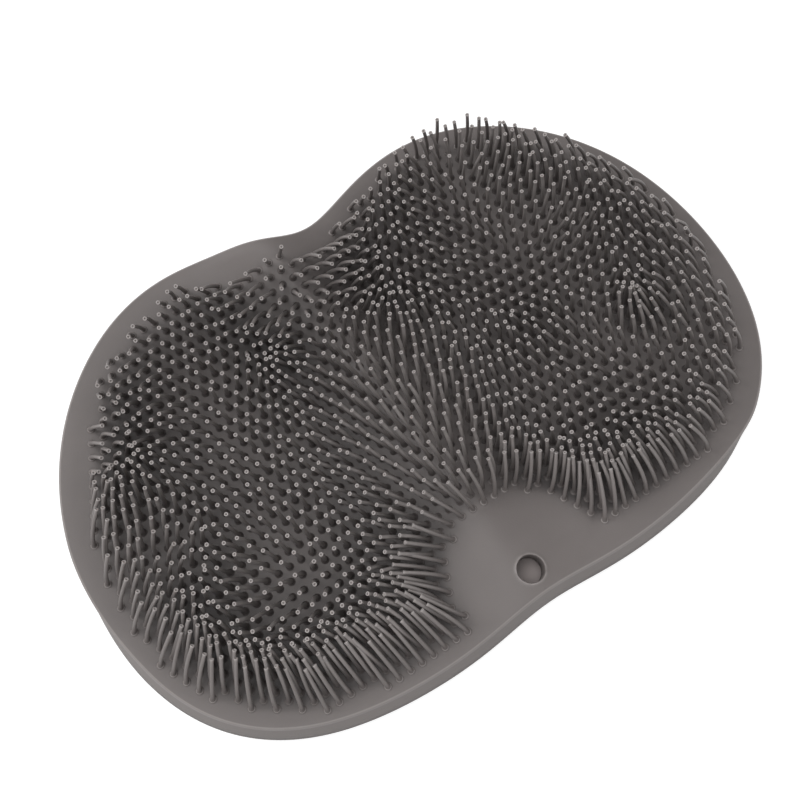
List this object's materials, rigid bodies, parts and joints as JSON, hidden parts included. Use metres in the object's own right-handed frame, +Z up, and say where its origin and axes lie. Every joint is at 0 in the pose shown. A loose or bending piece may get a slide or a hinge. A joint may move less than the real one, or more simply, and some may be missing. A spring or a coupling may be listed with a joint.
{
  "type": "back scrubber",
  "caption": "Soft peanut-shaped back scrubber pad with a field of bendy bristles, a hanging hole in its border and suction cups beneath.",
  "frame": {"origin": "centre of the bounding box in plan, at the plane of the suction cup lips, z = 0", "axes": "+X along the pad from lobe to lobe, -Y towards the side with the hanging hole, +Z up along the bristles"},
  "size_m": [0.33, 0.225, 0.0408],
  "materials": {
    "silicone": "satin"
  },
  "bodies": {
    "root": {"scrubber_pad": "silicone"}
  },
  "joints": []
}
